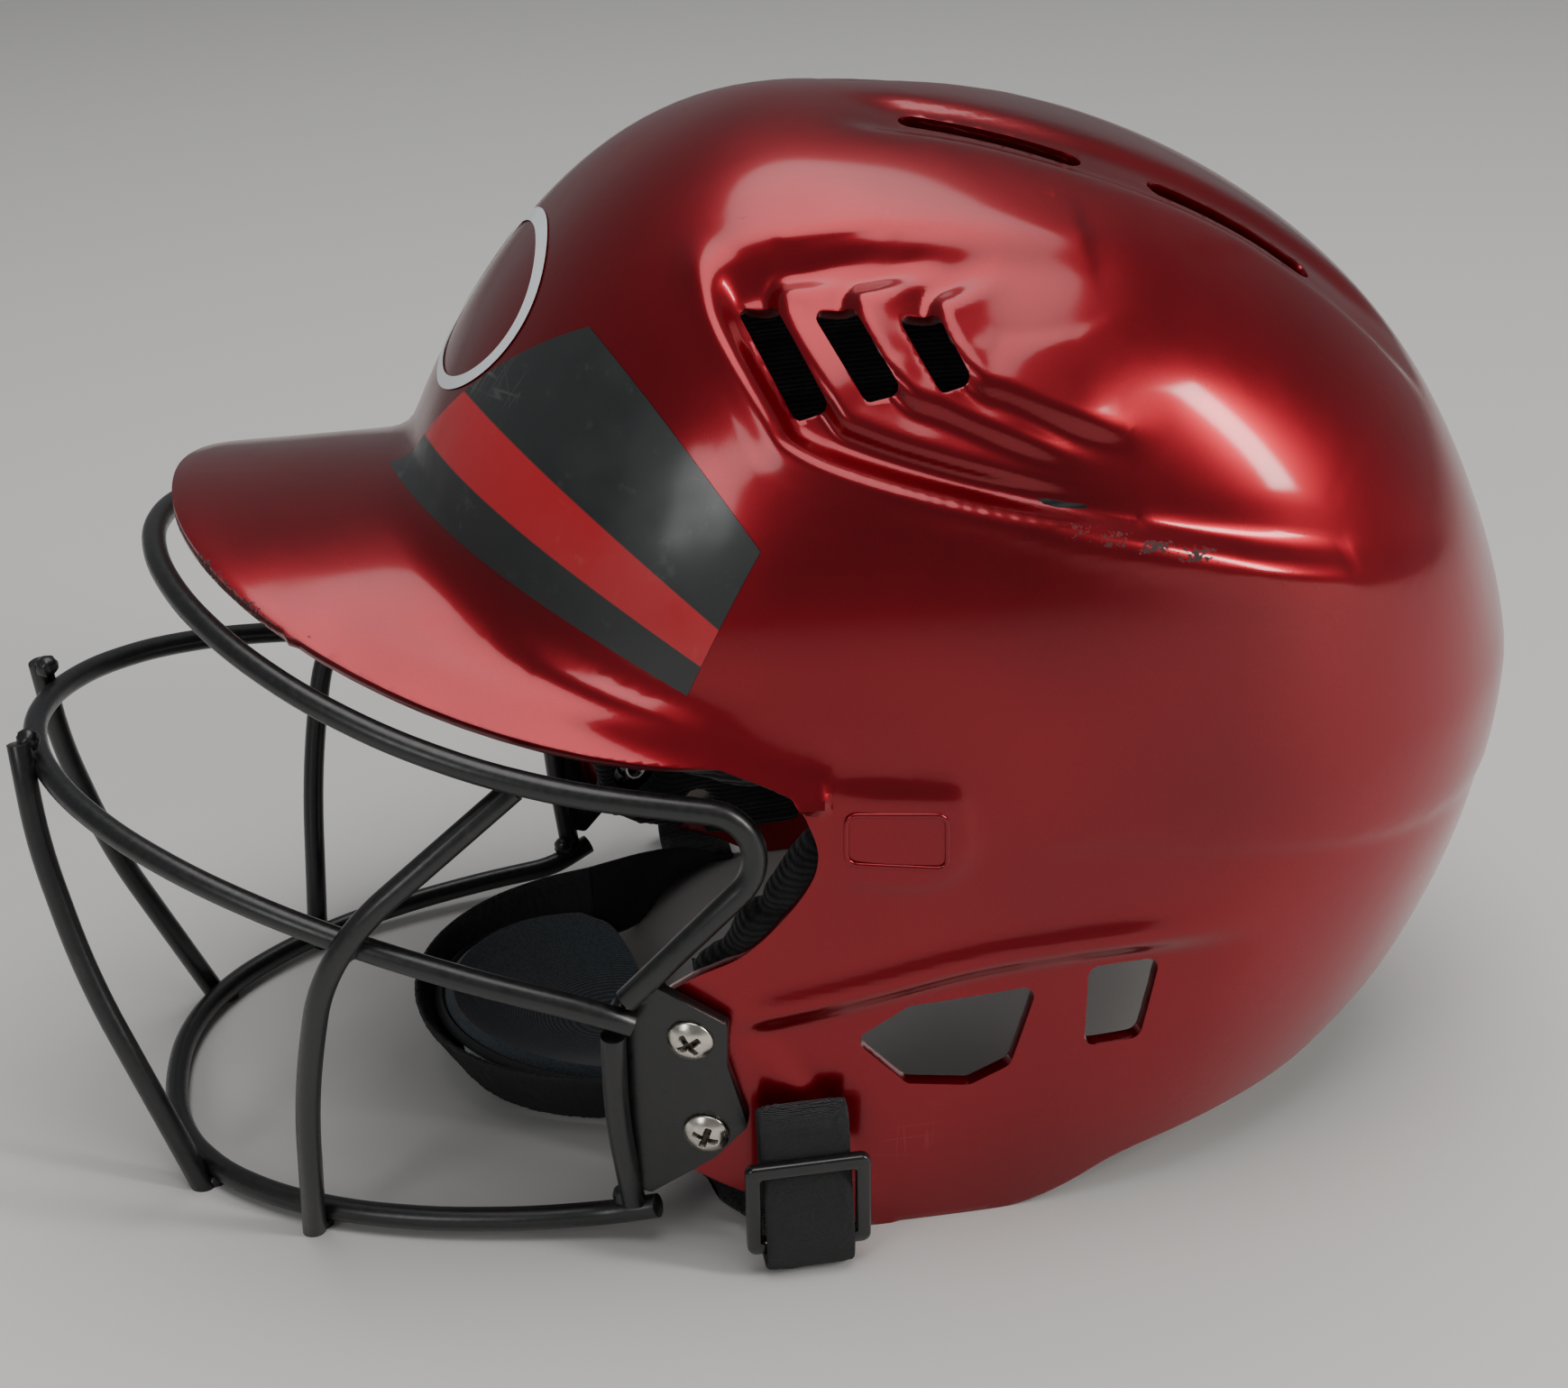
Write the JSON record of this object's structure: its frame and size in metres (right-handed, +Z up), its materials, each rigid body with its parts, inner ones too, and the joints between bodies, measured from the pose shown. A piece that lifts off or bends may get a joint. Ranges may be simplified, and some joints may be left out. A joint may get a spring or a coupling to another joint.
{
  "type": "batting helmet",
  "caption": "Hard shell batting helmet with a bill, two ear flaps, a bolted wire face guard and a chin cup on adjustable webbing.",
  "frame": {"origin": "on the surface the helmet stands on, under the middle of its bounding box", "axes": "+Z up, the face looks along -Y, +X towards the wearer's left; symmetric across the YZ plane"},
  "size_m": [0.2108, 0.3351, 0.2266],
  "materials": {
    "shell_plastic": "candy red gloss with a clear coat, scuffed along its edges",
    "plate_paint": "satin black powder coat",
    "guard_paint": "satin black powder coat",
    "screw_nickel": "bright nickel, slightly tarnished",
    "nut_zinc": "zinc plated",
    "pad_fabric": "black knit over foam",
    "slide_plastic": "black moulded nylon",
    "webbing": "black loop-pile webbing",
    "cup_plastic": "soft black moulding",
    "liner_fabric": "smooth dark grey lining"
  },
  "bodies": {
    "root": {"back_pad": "pad_fabric", "brow_pad": "pad_fabric", "crown_pad": "pad_fabric", "ear_pad_left": "pad_fabric", "ear_pad_right": "pad_fabric", "guard_bottom_bar": "guard_paint", "guard_end_bar_left": "guard_paint", "guard_end_bar_right": "guard_paint", "guard_front_bar_left": "guard_paint", "guard_front_bar_right": "guard_paint", "guard_middle_bar": "guard_paint", "guard_nuts_left": "nut_zinc", "guard_nuts_right": "nut_zinc", "guard_plate_left": "plate_paint", "guard_plate_right": "plate_paint", "guard_screws_left": "screw_nickel", "guard_screws_right": "screw_nickel", "guard_side_bar_left": "guard_paint", "guard_side_bar_right": "guard_paint", "guard_top_bar": "guard_paint", "nape_pad": "pad_fabric", "rear_side_pad_left": "pad_fabric", "rear_side_pad_right": "pad_fabric", "shell": "shell_plastic", "side_pad_left": "pad_fabric", "side_pad_right": "pad_fabric", "strap_rivet_left": "screw_nickel", "strap_rivet_right": "screw_nickel", "strap_slide_left": "slide_plastic", "strap_slide_right": "slide_plastic", "strap_tongue_left": "webbing", "strap_tongue_right": "webbing", "temple_pad_left": "pad_fabric", "temple_pad_right": "pad_fabric"},
    "chin_strap": {"chin_cup": "cup_plastic", "chin_cup_liner": "liner_fabric", "chin_strap_left": "webbing", "chin_strap_right": "webbing"}
  },
  "joints": [
    {"name": "chin_strap_swing", "type": "hinge", "parent": "root", "child": "chin_strap", "pos_m": [0, -0.01, 0.0016], "axis": [-1, 0, 0], "range_deg": [-50, 30]}
  ]
}
